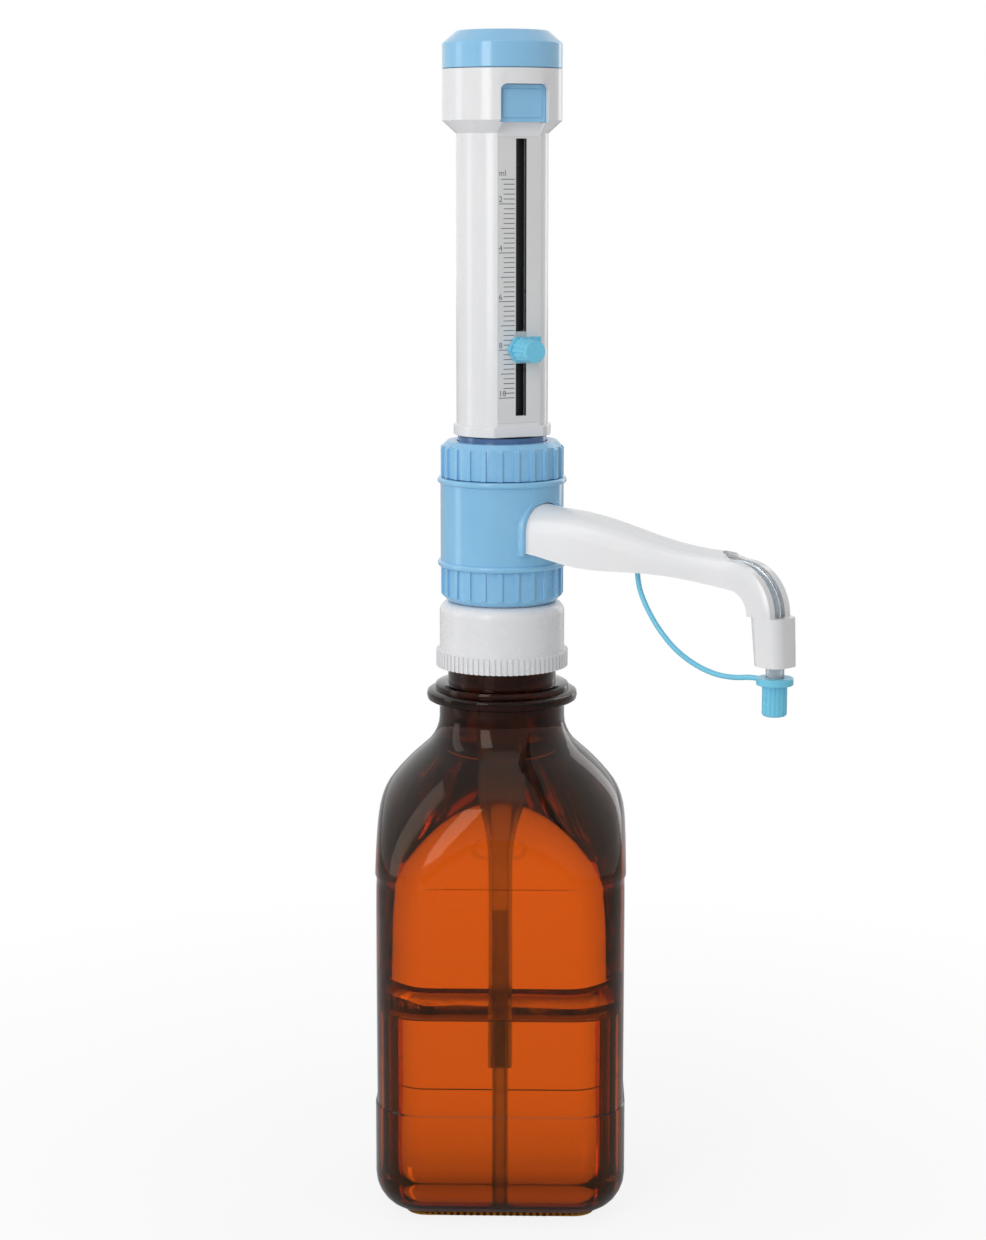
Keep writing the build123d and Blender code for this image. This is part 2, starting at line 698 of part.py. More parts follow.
def make_scale_strip():
    depth = cuboid((sleeve_flat - strip_thick + seat_gap, sleeve_flat), (-reach, reach), (0, slot_top + reach))
    return to_scale((strip_plate(0) & depth) - slot_cut())


def make_sleeve_ring():
    body = rod(ring_radius, plunger_low, sleeve_low)
    body -= cuboid((ring_flat, reach), (-reach, reach), (plunger_low - past, sleeve_low + past))
    body = fillet(body.edges().filter_by(Axis.Z), small_round)
    body += rod(sleeve_bore - seat_gap, sleeve_low - lap, sleeve_low + ring_spigot)
    return to_scale(body - rod(guide_radius + running_gap, plunger_low - past, sleeve_low + ring_spigot + past))


def cover_outline(grow):
    """The cover's outline on a plane facing along +X: round upper corners, square lower ones."""
    half = cover_half + grow
    low = cover_low - grow
    high = cover_low + cover_height + grow
    face = make_face(Polyline((-half, low), (half, low), (half, high), (-half, high), close=True))
    return fillet(face.vertices().sort_by(Axis.Y)[-2:], cover_corner + grow)


def make_head():
    bore = sleeve_spigot_radius + seat_gap
    socket = cap_socket_radius + seat_gap
    hole = rod_radius + seat_gap
    body = turned((bore, sleeve_top), (sleeve_radius, sleeve_top), (head_radius, cone_top), (head_radius, head_top),
                  (socket, head_top), (socket, cap_socket_low), (head_cavity, cap_socket_low),
                  (head_cavity, web_top), (hole, web_top), (hole, web_low), (bore, web_low))
    body -= cuboid((sleeve_flat, reach), (-flat_half, flat_half), (sleeve_top - past, cover_low))
    body -= extrude(across(cover_back - seat_gap) * cover_outline(cover_gap), reach)
    low = cover_low + window_rise
    return to_scale(body - cuboid((calibration_radius, reach), (-window_half, window_half), (low, low + window_height)))


def make_cover():
    """Snap-in cover: a plate with a raised panel and two lips that grip the window."""
    plate = extrude(across(cover_back) * cover_outline(0), cover_depth - cover_panel_rise)
    panel = extrude(across(cover_back) * cover_outline(-cover_panel_margin), cover_depth)
    plate += chamfer(panel.faces().sort_by(Axis.X)[-1].edges(), cover_panel_rise / 2)
    depth = (cover_back - cover_lip_reach, cover_back + lap)
    side = (-window_half + cover_lip_gap, window_half - cover_lip_gap)
    low = cover_low + window_rise + cover_lip_gap
    high = cover_low + window_rise + window_height - cover_lip_gap
    plate += cuboid(depth, side, (low, low + cover_lip_thick))
    return to_scale(plate + cuboid(depth, side, (high - cover_lip_thick, high)))


def make_top_cap():
    low = head_top + cap_seam
    top = low + cap_height
    skirt = cap_socket_radius - cap_wall
    skirt_low = cap_socket_low + seat_gap
    return turned((0, top), (cap_top_radius, top), (head_radius, top - cap_chamfer_height), (head_radius, low),
                  (cap_socket_radius, low), (cap_socket_radius, skirt_low), (skirt, skirt_low),
                  (skirt, top - cap_chamfer_height), (cap_top_radius - cap_wall, top - cap_wall),
                  (0, top - cap_wall))


def make_calibration_nut():
    notch = Rectangle(calibration_radius / 9, pi * calibration_radius / calibration_teeth)
    wheel = Circle(calibration_radius) - PolarLocations(calibration_radius, calibration_teeth) * notch
    body = extrude(Plane.XY.offset(calibration_low) * wheel, calibration_height)
    return body - rod(rod_radius + running_gap, calibration_low - past, calibration_low + calibration_height + past)


def seal_spans():
    """Heights of the piston's two seals."""
    starts = (piston_low + piston_seal_margin, piston_top - piston_seal_margin - piston_seal_width)
    return [(start, start + piston_seal_width) for start in starts]


def make_piston():
    body = rod(cylinder_bore - piston_clearance, piston_low, piston_top)
    for low, high in seal_spans():
        body -= pipe(cylinder_bore + past, cylinder_bore - piston_seal_depth, low, high)
    return body - rod(rod_radius, piston_low + piston_face, piston_top + past)


def make_piston_seals():
    outer = cylinder_bore - piston_clearance / 2
    rings = [pipe(outer, cylinder_bore - piston_seal_depth, low, high) for low, high in seal_spans()]
    return rings[0] + rings[1]


def stud_bar(radius, start, end):
    """Round bar on the knob's axis, between two distances from the main axis."""
    return Pos(0, slot_offset, 0) * bar_along_x(radius, start, end, tip_height)


def stud_hole():
    return stud_bar(stud_radius + seat_gap, 0, reach)


def pointer_span():
    return (tip_height - block_down, tip_height + block_up)


def make_clamp_plate():
    """Curved nut behind the slot that carries the stop up to the collar."""
    half = slot_width / 2 + clamp_ear
    side = cuboid((0, reach), (slot_offset - half, slot_offset + half), pointer_span())
    return to_scale((pipe(clamp_outer, clamp_inner, *pointer_span()) & side) - stud_hole())


def make_slider_block():
    half = slot_width / 2 - slider_play
    depth = (clamp_outer + seat_gap, plate_back - seat_gap)
    body = cuboid(depth, (slot_offset - half, slot_offset + half), pointer_span())
    return to_scale(body - stud_hole())


def make_pointer_plate():
    outline = Polyline((plate_tip, 0), (plate_shoulder, -plate_half_height), (plate_right, -plate_half_height),
                       (plate_right, plate_half_height), (plate_shoulder, plate_half_height), close=True)
    plate = extrude(across(plate_back) * Pos(0, tip_height) * make_face(outline), plate_thick)
    return to_scale(plate - stud_hole())


def make_knob():
    """Tapered thumb knob with flutes that run along its side."""
    body = Cone(knob_radius, knob_face_radius, knob_length)
    body = fillet(body.faces().sort_by(Axis.Z)[-1].edges(), small_round)
    lean = (knob_radius - knob_face_radius) / knob_length
    flute = Pos(0, 0, -knob_flute_start) * Rot(0, -lean * 180 / pi, 0) * Cylinder(knob_flute_radius, knob_length)
    body -= PolarLocations((knob_radius + knob_face_radius + knob_flute_radius) / 2, knob_flutes) * flute
    body = Pos(knob_base + knob_length / 2, slot_offset, tip_height) * Rot(0, 90, 0) * body
    return to_scale(body - stud_bar(stud_radius, 0, knob_base + stud_reach))


save("bottle", make_bottle())
save("bottle_adapter", make_adapter())
save("bottle_seal", pipe(thread_root_radius, mouth_radius, bottle_height, adapter_roof_low))
save("mounting_nut", make_mounting_nut())
save("valve_block", make_valve_block())
save("filling_valve", make_filling_valve())
save("filling_tube", pipe(filling_tube_radius, filling_tube_bore, filling_tube_end,
                          block_foot - valve_shank_drop - seat_gap))
save("suction_tube", make_suction_tube())
save("discharge_valve", make_discharge_valve())
save("outlet_nipple", make_outlet_nipple())
save("discharge_arm", make_arm())
save("discharge_tube", make_discharge_tube())
save("nozzle", make_nozzle())
save("tip_cap", make_tip_cap())
save("cap_strap", make_strap())
save("strap_anchor", Pos(strap_x, 0, 0) * rod(anchor_radius, anchor_low, anchor_low + anchor_thick))
save("cylinder_nut", make_cylinder_nut())
save("cylinder_glass", pipe(cylinder_radius, cylinder_bore, cylinder_low, cylinder_top))
save("cylinder_seal", pipe(cylinder_radius, cylinder_bore, seal_low, cylinder_low))
save("guide_sleeve", make_guide_sleeve())
save("stop_collar", make_stop_collar())
save("plunger_rest", pipe(rest_ring_radius, guide_radius + seat_gap, guide_flange_top, rest_top))
save("plunger_sleeve", make_sleeve())
save("sleeve_ring", make_sleeve_ring())
save("scale_strip", make_scale_strip())
save("plunger_head", make_head())
save("top_cap", make_top_cap())
save("piston_rod", rod(rod_radius, piston_low + piston_face, calibration_low + calibration_height + rod_above_nut))
save("piston", make_piston())
save("piston_seals", make_piston_seals())
save("calibration_nut", make_calibration_nut())
save("calibration_cover", make_cover())
save("slider_block", make_slider_block())
save("pointer_plate", make_pointer_plate())
save("clamp_plate", make_clamp_plate())
save("thumb_knob", make_knob())
save("clamp_stud", to_scale(stud_bar(stud_radius, clamp_inner + stud_end, knob_base + stud_reach)))
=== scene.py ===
import json
import math

import bmesh
import bpy
from mathutils import Matrix, Vector


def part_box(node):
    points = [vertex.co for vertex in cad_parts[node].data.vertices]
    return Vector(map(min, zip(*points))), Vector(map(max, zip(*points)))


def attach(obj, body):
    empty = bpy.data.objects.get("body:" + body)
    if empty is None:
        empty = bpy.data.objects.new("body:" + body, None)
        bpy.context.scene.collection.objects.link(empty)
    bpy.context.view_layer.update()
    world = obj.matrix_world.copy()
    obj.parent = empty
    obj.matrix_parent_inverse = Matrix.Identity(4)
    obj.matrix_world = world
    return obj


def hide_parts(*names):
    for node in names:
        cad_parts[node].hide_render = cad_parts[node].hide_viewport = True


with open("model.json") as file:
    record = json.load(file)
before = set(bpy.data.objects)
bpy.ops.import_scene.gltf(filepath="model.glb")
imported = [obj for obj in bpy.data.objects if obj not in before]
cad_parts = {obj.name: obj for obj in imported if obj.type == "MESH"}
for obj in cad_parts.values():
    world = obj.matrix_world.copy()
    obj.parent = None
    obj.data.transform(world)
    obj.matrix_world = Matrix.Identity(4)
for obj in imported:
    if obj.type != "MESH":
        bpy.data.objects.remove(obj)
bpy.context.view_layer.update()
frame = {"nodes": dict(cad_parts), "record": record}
nodes = frame["nodes"]
mm = 0.001

print("camera")
cameraSettings = {"place": (0.7227, -0.7277, 0.4078), "pitch": 9.743, "turn": 45, "lens": 76.9, "sensor": 36}


def addCamera(settings):
    data = bpy.data.cameras.new("camera")
    data.sensor_width = settings["sensor"]
    data.lens = settings["lens"]
    camera = bpy.data.objects.new("camera", data)
    camera.location = settings["place"]
    camera.rotation_euler = (math.radians(90 - settings["pitch"]), 0, math.radians(settings["turn"]))
    bpy.context.collection.objects.link(camera)
    bpy.context.scene.camera = camera


addCamera(cameraSettings)

print("tether of the tip cap")
strapSettings = {
    "route": [(0.071, 0, 0.26155), (0.071, 0, 0.2545), (0.0755, 0, 0.2459), (0.082, 0, 0.2381),
              (0.0901, 0, 0.2315), (0.0997, 0, 0.2271), (0.1097, 0, 0.2248), (0.1192, 0, 0.2249),
              (0.1257, 0, 0.2262), (0.13055, 0, 0.2262)],
    "exit": (0.071, 0, 0.2593),
    "length": 0.079,
    "diameter": 0.002,
    "aroundSteps": 5,
    "alongSteps": 16,
}


def addStrap(settings):
    curve = bpy.data.curves.new("capStrap", "CURVE")
    curve.dimensions = "3D"
    curve.bevel_depth = settings["diameter"] / 2
    curve.bevel_resolution = settings["aroundSteps"]
    curve.resolution_u = settings["alongSteps"]
    curve.use_fill_caps = True
    spline = curve.splines.new("NURBS")
    spline.points.add(len(settings["route"]) - 1)
    for point, place in zip(spline.points, settings["route"]):
        point.co = (*place, 1)
    spline.order_u = 3
    spline.use_endpoint_u = True
    strap = bpy.data.objects.new("capStrap", curve)
    bpy.context.collection.objects.link(strap)
    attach(strap, "tip_cap")
    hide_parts("cap_strap")
    return strap


capStrap = addStrap(strapSettings)

print("materials")
noiseLow, noiseHigh = 0.3, 0.7          # a noise texture seldom leaves this span
mixFactor, mixFirst, mixSecond, mixOut = 0, 6, 7, 2     # colour sockets of a Mix node


def startMaterial(name):
    material = bpy.data.materials.new(name)
    material.use_nodes = True
    tree = material.node_tree
    shader = tree.nodes["Principled BSDF"]
    place = tree.nodes.new("ShaderNodeTexCoord").outputs["Object"]
    return material, tree, shader, place


def addNoise(tree, place, scale, detail=3, stretch=None):
    if stretch:
        mapping = tree.nodes.new("ShaderNodeMapping")
        mapping.inputs["Scale"].default_value = stretch
        tree.links.new(place, mapping.inputs["Vector"])
        place = mapping.outputs["Vector"]
    noise = tree.nodes.new("ShaderNodeTexNoise")
    noise.inputs["Scale"].default_value = scale
    noise.inputs["Detail"].default_value = detail
    tree.links.new(place, noise.inputs["Vector"])
    return noise.outputs["Fac"]


def addRange(tree, value, low, high):
    span = tree.nodes.new("ShaderNodeMapRange")
    span.inputs["From Min"].default_value = noiseLow
    span.inputs["From Max"].default_value = noiseHigh
    span.inputs["To Min"].default_value = low
    span.inputs["To Max"].default_value = high
    tree.links.new(value, span.inputs["Value"])
    return span.outputs["Result"]


def addMix(tree, factor, first, second):
    mix = tree.nodes.new("ShaderNodeMix")
    mix.data_type = "RGBA"
    mix.inputs[mixFirst].default_value = (*first, 1)
    mix.inputs[mixSecond].default_value = (*second, 1)
    tree.links.new(factor, mix.inputs[mixFactor])
    return mix.outputs[mixOut]


def addClouds(tree, shader, place, scale, colour, shade):
    cloud = addNoise(tree, place, scale)
    tree.links.new(addMix(tree, addRange(tree, cloud, 0, 1), colour, shade), shader.inputs["Base Color"])


def addBump(tree, shader, height, depth, strength=1.0):
    bump = tree.nodes.new("ShaderNodeBump")
    bump.inputs["Strength"].default_value = strength
    bump.inputs["Distance"].default_value = depth
    tree.links.new(height, bump.inputs["Height"])
    tree.links.new(bump.outputs["Normal"], shader.inputs["Normal"])


mouldSettings = {"cloud": 45, "haze": 160, "hazeSpan": (0.85, 1.2), "coatRoughness": 0.08,
                 "throughDepth": 0.002}


def mouldedPlastic(name, colour, shade, roughness, grain=1400, depth=0.00002, coat=0.0, through=0.0):
    material, tree, shader, place = startMaterial(name)
    smooth, rough = mouldSettings["hazeSpan"]
    addClouds(tree, shader, place, mouldSettings["cloud"], colour, shade)
    haze = addNoise(tree, place, mouldSettings["haze"], 4)
    tree.links.new(addRange(tree, haze, roughness * smooth, roughness * rough), shader.inputs["Roughness"])
    addBump(tree, shader, addNoise(tree, place, grain, 2), depth)
    shader.inputs["Coat Weight"].default_value = coat
    shader.inputs["Coat Roughness"].default_value = mouldSettings["coatRoughness"]
    shader.inputs["Subsurface Weight"].default_value = through
    shader.inputs["Subsurface Scale"].default_value = mouldSettings["throughDepth"]
    return material


amberSettings = {
    "facing": (0.8, 0.29, 0.004),
    # painted shade: towards grazing angles the glass turns near black, in place of the dark sides that
    # refraction through the wall gives
    "edge": (0.03, 0.008, 0.002),
    "paintedShadeFrom": 0.64,
    "paintedShadeBlend": 0.35,
    "height": 0.23,
    "foot": (0.3, 0.25, 0.2),                # thicker glass looks darker: foot, shoulder, neck; at the neck also painted shade, as little light comes through it from behind
    "neck": (0.18, 0.12, 0.1),
    "neckFrom": 0.84,
    "levels": ((0.1, 0.85), (0.2, 1.0), (0.62, 1.0), (0.72, 0.8), (0.77, 0.4)),
    "shine": (0.4, 0.34, 0.3),
    "haze": 30,
    "roughness": (0.02, 0.06),
    "ripple": 38,
    "rippleStretch": (1, 1, 0.3),
    "rippleDepth": 0.0002,
    "rippleStrength": 0.25,
    "index": 1.5,
}


def amberGlass(name, settings):
    material, tree, shader, place = startMaterial(name)
    # painted shade: the base colour darkens from facing to grazing, standing in for the dark sides of real
    # glass
    weight = tree.nodes.new("ShaderNodeLayerWeight")
    weight.inputs["Blend"].default_value = settings["paintedShadeBlend"]
    ramp = tree.nodes.new("ShaderNodeValToRGB")
    facing, edge = ramp.color_ramp.elements
    facing.position = 0.0
    facing.color = (*settings["facing"], 1)
    edge.position = settings["paintedShadeFrom"]
    edge.color = (*settings["edge"], 1)
    tree.links.new(weight.outputs["Facing"], ramp.inputs["Fac"])
    # darker by height at foot, shoulder and neck: thicker glass there, and at the neck also painted shade
    height = tree.nodes.new("ShaderNodeSeparateXYZ")
    tree.links.new(place, height.inputs[0])
    thick = tree.nodes.new("ShaderNodeMapRange")
    thick.inputs["From Max"].default_value = settings["height"]
    tree.links.new(height.outputs["Z"], thick.inputs["Value"])
    bands = tree.nodes.new("ShaderNodeValToRGB")
    foot, neck = bands.color_ramp.elements
    foot.color = (*settings["foot"], 1)
    neck.color = (*settings["neck"], 1)
    neck.position = settings["neckFrom"]
    for position, level in settings["levels"]:
        bands.color_ramp.elements.new(position).color = (level, level, level, 1)
    tree.links.new(thick.outputs["Result"], bands.inputs["Fac"])
    blend = tree.nodes.new("ShaderNodeMix")
    blend.data_type = "RGBA"
    blend.blend_type = "MULTIPLY"
    blend.inputs[mixFactor].default_value = 1.0
    tree.links.new(ramp.outputs["Color"], blend.inputs[mixFirst])
    tree.links.new(bands.outputs["Color"], blend.inputs[mixSecond])
    tree.links.new(blend.outputs[mixOut], shader.inputs["Base Color"])
    shader.inputs["Specular Tint"].default_value = (*settings["shine"], 1)
    haze = addNoise(tree, place, settings["haze"], 3)
    tree.links.new(addRange(tree, haze, *settings["roughness"]), shader.inputs["Roughness"])
    ripple = addNoise(tree, place, settings["ripple"], 2, settings["rippleStretch"])
    addBump(tree, shader, ripple, settings["rippleDepth"], settings["rippleStrength"])
    shader.inputs["Transmission Weight"].default_value = 1.0
    shader.inputs["IOR"].default_value = settings["index"]
    return material


clearSettings = {"cloud": 60, "haze": 220, "hazeSpan": (0.7, 1.3)}


def clearMaterial(name, colour, shade, roughness, index, amount=1.0):
    material, tree, shader, place = startMaterial(name)
    smooth, rough = clearSettings["hazeSpan"]
    addClouds(tree, shader, place, clearSettings["cloud"], colour, shade)
    haze = addNoise(tree, place, clearSettings["haze"], 3)
    tree.links.new(addRange(tree, haze, roughness * smooth, roughness * rough), shader.inputs["Roughness"])
    shader.inputs["Transmission Weight"].default_value = amount
    shader.inputs["IOR"].default_value = index
    return material


steelSettings = {"colour": (0.55, 0.55, 0.57), "shade": (0.68, 0.68, 0.7), "lines": 900,
                 "stretch": (0.1, 1, 1), "roughness": (0.25, 0.4)}


def turnedSteel(name, settings):
    material, tree, shader, place = startMaterial(name)
    lines = addNoise(tree, place, settings["lines"], 2, settings["stretch"])
    tree.links.new(addMix(tree, addRange(tree, lines, 0, 1), settings["colour"], settings["shade"]),
                   shader.inputs["Base Color"])
    tree.links.new(addRange(tree, lines, *settings["roughness"]), shader.inputs["Roughness"])
    shader.inputs["Metallic"].default_value = 1.0
    return material


finishes = {
    "amber_glass": amberGlass("amberGlass", amberSettings),
    "clear_glass": clearMaterial("clearGlass", (0.95, 0.97, 0.98), (0.9, 0.94, 0.96), 0.03, 1.47),
    "white_plastic": mouldedPlastic("whiteMoulding", (0.86, 0.86, 0.87), (0.83, 0.835, 0.85), 0.2, coat=0.25),
    "adapter_white": mouldedPlastic("adapterMoulding", (0.84, 0.845, 0.86), (0.825, 0.83, 0.85), 0.26, 1500),
    "blue_plastic": mouldedPlastic("blueMoulding", (0.27, 0.59, 0.86), (0.24, 0.55, 0.83), 0.16, coat=0.3),
    "blue_nut": mouldedPlastic("blueNutMoulding", (0.27, 0.58, 0.86), (0.23, 0.53, 0.82), 0.24, 1100,
                               coat=0.15),
    "sky_plastic": mouldedPlastic("skyMoulding", (0.2, 0.66, 0.88), (0.17, 0.6, 0.83), 0.28, 1000),
    "scale_white": mouldedPlastic("scaleStrip", (0.8, 0.8, 0.8), (0.77, 0.77, 0.775), 0.38, 1800, 0.00001),
    "slider_grey": mouldedPlastic("sliderMoulding", (0.55, 0.57, 0.6), (0.5, 0.52, 0.55), 0.4, 900),
    "guide_grey": mouldedPlastic("guideMoulding", (0.045, 0.046, 0.05), (0.06, 0.06, 0.066), 0.3, 700),
    "rest_blue": mouldedPlastic("restRing", (0.06, 0.14, 0.32), (0.1, 0.2, 0.42), 0.15, coat=0.4),
    "clear_tube": clearMaterial("clearTube", (0.9, 0.94, 0.97), (0.84, 0.9, 0.95), 0.12, 1.34, 0.85),
    "nozzle_clear": clearMaterial("nozzleTube", (0.8, 0.84, 0.87), (0.72, 0.77, 0.82), 0.3, 1.36, 0.6),
    "fluoropolymer": mouldedPlastic("fluoropolymer", (0.8, 0.8, 0.77), (0.76, 0.76, 0.73), 0.45, 800,
                                    through=0.2),
    "seal_rubber": mouldedPlastic("sealRubber", (0.02, 0.02, 0.022), (0.03, 0.03, 0.032), 0.6, 1500),
    "stud_steel": turnedSteel("turnedSteel", steelSettings),
}
inkMaterial = mouldedPlastic("scaleInk", (0.12, 0.13, 0.15), (0.17, 0.18, 0.2), 0.5, 2500, 0.000005)
liquidMaterial = clearMaterial("storedLiquid", (0.98, 0.95, 0.9), (0.96, 0.93, 0.87), 0.01, 1.33)

slotOf = {part["node"]: part["material_slot"] for part in frame["record"]["subparts"]}
for name, node in nodes.items():
    node.data.materials.clear()
    node.data.materials.append(finishes[slotOf[name]])
capStrap.data.materials.append(finishes["sky_plastic"])

print("pieces")


def addPiece(name, shape, material, body, smooth=35):
    mesh = bpy.data.meshes.new(name)
    shape.to_mesh(mesh)
    shape.free()
    mesh.materials.append(material)
    mesh.shade_smooth()
    mesh.set_sharp_from_angle(angle=math.radians(smooth))
    piece = bpy.data.objects.new(name, mesh)
    bpy.context.collection.objects.link(piece)
    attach(piece, body)
    return piece


def addBox(shape, size, place):
    made = bmesh.ops.create_cube(shape, size=1)
    bmesh.ops.scale(shape, vec=size, verts=made["verts"])
    bmesh.ops.translate(shape, vec=place, verts=made["verts"])


scaleLow, scaleHigh = (corner[2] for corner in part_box("scale_strip"))
scaleSettings = {
    "face": 15.3 * mm,           # flat of the plunger, out from its axis
    "turn": -21,                 # where the flat faces, in degrees from the arm
    "zero": scaleHigh - 6.7 * mm,
    "perMl": 9.14 * mm,
    "first": 1,
    "last": 10,
    "ticksPerMl": 5,
    "proud": 0.03 * mm,
    "thick": 0.3 * mm,
    "right": -1.7 * mm,
    "left": {"even": -8.2 * mm, "odd": -7.4 * mm, "fifth": -6.3 * mm},
    "digitSize": 3.1 * mm,
    "digitLeft": -8.3 * mm,
    "digitRise": 0.7 * mm,
    "unitRise": 1.3 * mm,
    "curveSteps": 4,
}


# stands a drawing made flat (x across, y up, z out) on the plunger's flat
def scaleMatrix(settings):
    turn = Matrix.Rotation(math.radians(settings["turn"]), 4, "Z")
    lay = Matrix(((0, 0, 1, settings["face"]), (1, 0, 0, 0), (0, 1, 0, 0), (0, 0, 0, 1)))
    return turn @ lay


def addWord(shape, word, place, settings):
    curve = bpy.data.curves.new("word", "FONT")
    curve.body = word
    curve.size = settings["digitSize"]
    curve.extrude = settings["proud"]
    curve.resolution_u = settings["curveSteps"]
    holder = bpy.data.objects.new("word", curve)
    bpy.context.collection.objects.link(holder)
    mesh = bpy.data.meshes.new_from_object(holder)
    mesh.transform(Matrix.Translation((place[0], place[1], 0)))
    shape.from_mesh(mesh)
    bpy.data.objects.remove(holder)
    bpy.data.meshes.remove(mesh)


def addScale(settings):
    shape = bmesh.new()
    perMl, right = settings["ticksPerMl"], settings["right"]
    steps = round((settings["last"] - settings["first"]) * perMl)
    for step in range(steps + 1):
        volume = settings["first"] + step / perMl
        height = settings["zero"] - volume * settings["perMl"]
        kind = "fifth" if step % perMl else ("odd" if round(volume) % 2 else "even")
        left = settings["left"][kind]
        addBox(shape, (right - left, settings["thick"], 2 * settings["proud"]),
               ((right + left) / 2, height, 0))
        if kind == "even":
            spot = (settings["digitLeft"], height + settings["digitRise"])
            addWord(shape, str(round(volume)), spot, settings)
    top = settings["zero"] - settings["perMl"]
    addWord(shape, "ml", (settings["digitLeft"], top + settings["unitRise"]), settings)
    bmesh.ops.transform(shape, matrix=scaleMatrix(settings), verts=shape.verts)
    bmesh.ops.recalc_face_normals(shape, faces=shape.faces)
    addPiece("scaleMarks", shape, inkMaterial, "plunger")


addScale(scaleSettings)

sleeveLow, sleeveHigh = (corner[2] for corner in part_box("plunger_sleeve"))
# painted shade: thin dark sheets over the white walls of the plunger's slot, so the whole slot reads dark
slotShadeSettings = {
    "sides": (-1.2 * mm, 3.2 * mm),
    "thick": 0.1 * mm,
    "depth": (-1.75 * mm, -0.03 * mm),
    "low": 4.15 * mm,
    "spigot": 5 * mm,            # top of the sleeve that is inside the head
    "high": 1.95 * mm,
    "gap": 0.1 * mm,
}


# painted shade: two dark sheets lining the slot's side walls
def addSlotLiner(scale, settings):
    shape = bmesh.new()
    low = sleeveLow + settings["low"]
    high = sleeveHigh - settings["spigot"] - settings["high"] - settings["gap"]
    deep, shallow = settings["depth"]
    left, right = settings["sides"]
    for side in (left + settings["thick"] / 2, right - settings["thick"] / 2):
        addBox(shape, (settings["thick"], high - low, shallow - deep),
               (side, (high + low) / 2, (shallow + deep) / 2))
    bmesh.ops.transform(shape, matrix=scaleMatrix(scale), verts=shape.verts)
    addPiece("slotWallShade", shape, finishes["guide_grey"], "plunger")


addSlotLiner(scaleSettings, slotShadeSettings)

gripSettings = {"left": 3.95 * mm, "right": 8.2 * mm, "pitch": 1.05 * mm, "thick": 0.35 * mm,
                "proud": 0.06 * mm, "margin": 2.4 * mm}


def addScaleRibs(scale, settings):
    shape = bmesh.new()
    left, right, margin = settings["left"], settings["right"], settings["margin"]
    count = int((scaleHigh - scaleLow - 2 * margin) / settings["pitch"])
    for step in range(count):
        height = scaleLow + margin + step * settings["pitch"]
        addBox(shape, (right - left, settings["thick"], 2 * settings["proud"]),
               ((right + left) / 2, height, 0))
    bmesh.ops.transform(shape, matrix=scaleMatrix(scale), verts=shape.verts)
    addPiece("scaleRibs", shape, finishes["scale_white"], "plunger")


addScaleRibs(scaleSettings, gripSettings)

bottleTurn = 43.6                # the square bottle's turn on its axis, in degrees
liquidSettings = {
    "half": 46.1 * mm,
    "corner": 17.1 * mm,
    "cornerSteps": 12,
    "low": 5.0 * mm,
    "level": 83.5 * mm,
    "base": 9.0 * mm,
    "baseSteps": 6,
    "rim": 1.6 * mm,             # the liquid climbs the glass by sag over this width
    "sag": 0.9 * mm,
    "smooth": 60,
}


def addLiquid(settings):
    shape = bmesh.new()
    low, level = settings["low"], settings["level"]
    size = 2 * settings["half"]
    addBox(shape, (size, size, level - low), (0, 0, (level + low) / 2))
    upright = [edge for edge in shape.edges if abs(edge.verts[0].co.z - edge.verts[1].co.z) > size / 4]
    bmesh.ops.bevel(shape, geom=upright, offset=settings["corner"], segments=settings["cornerSteps"],
                    profile=0.5, affect="EDGES", material=-1)
    under = [edge for edge in shape.edges if all(vert.co.z < low + mm for vert in edge.verts)]
    bmesh.ops.bevel(shape, geom=under, offset=settings["base"], segments=settings["baseSteps"],
                    profile=0.5, affect="EDGES", material=-1)
    top = [face for face in shape.faces if face.normal.z > 0.9 and face.calc_center_median().z > level / 2]
    bmesh.ops.inset_region(shape, faces=top, thickness=settings["rim"], depth=-settings["sag"])
    bmesh.ops.rotate(shape, matrix=Matrix.Rotation(math.radians(bottleTurn), 3, "Z"), verts=shape.verts)
    bmesh.ops.recalc_face_normals(shape, faces=shape.faces)
    addPiece("storedLiquid", shape, liquidMaterial, "bottle", settings["smooth"])


addLiquid(liquidSettings)

# all in mm; a ring follows the square where its own radius reaches past it
glassSettings = {
    "half": 49.0,
    "corner": 20.0,
    "leastCorner": 6.0,
    "sides": 144,
    "softness": 6.0,             # width over which dome and square melt together
    "wall": 3.0,
    "beyond": 70.0,              # a radius past the square everywhere
    "base": 15.0,
    "baseAngles": (77, 65, 52, 40, 27, 14, 0),
    "foot": 1.2,
    "footInset": 12.0,
    "footWidth": 4.0,
    "floor": 5.0,
    "floorAngles": (0, 20, 40, 60, 75, 90),
    "label": (44.5, 136.0, 0.65),
    "waist": 90,
    "waistInside": 44,
    "domeRadius": 86.0,
    "domeOffset": 24.0,
    "domeHeight": 115.5,
    "domeSteps": (120, 124, 128, 132, 135.4, 136, 140, 144, 148, 152, 155, 158, 161, 164, 167, 170, 173, 176,
                  178.5, 181),
    "neck": ((28.6, 183.8), (26.9, 186.2), (25.7, 188.6), (24.9, 191), (24.6, 194)),
    "rings": ((24.6, 200.3), (28.0, 200.3), (29.2, 201.0), (29.6, 202.5), (29.3, 204.0), (28.2, 204.8),
              (26.2, 204.9), (26.3, 205.9), (26.0, 206.9), (25.2, 207.4), (21.2, 207.4), (21.2, 227.6)),
    "mouth": ((17.5, 227.6), (17.5, 200.0), (18.6, 198.3), (20.4, 197.2), (21.6, 195.0)),
    "smooth": 40,
}


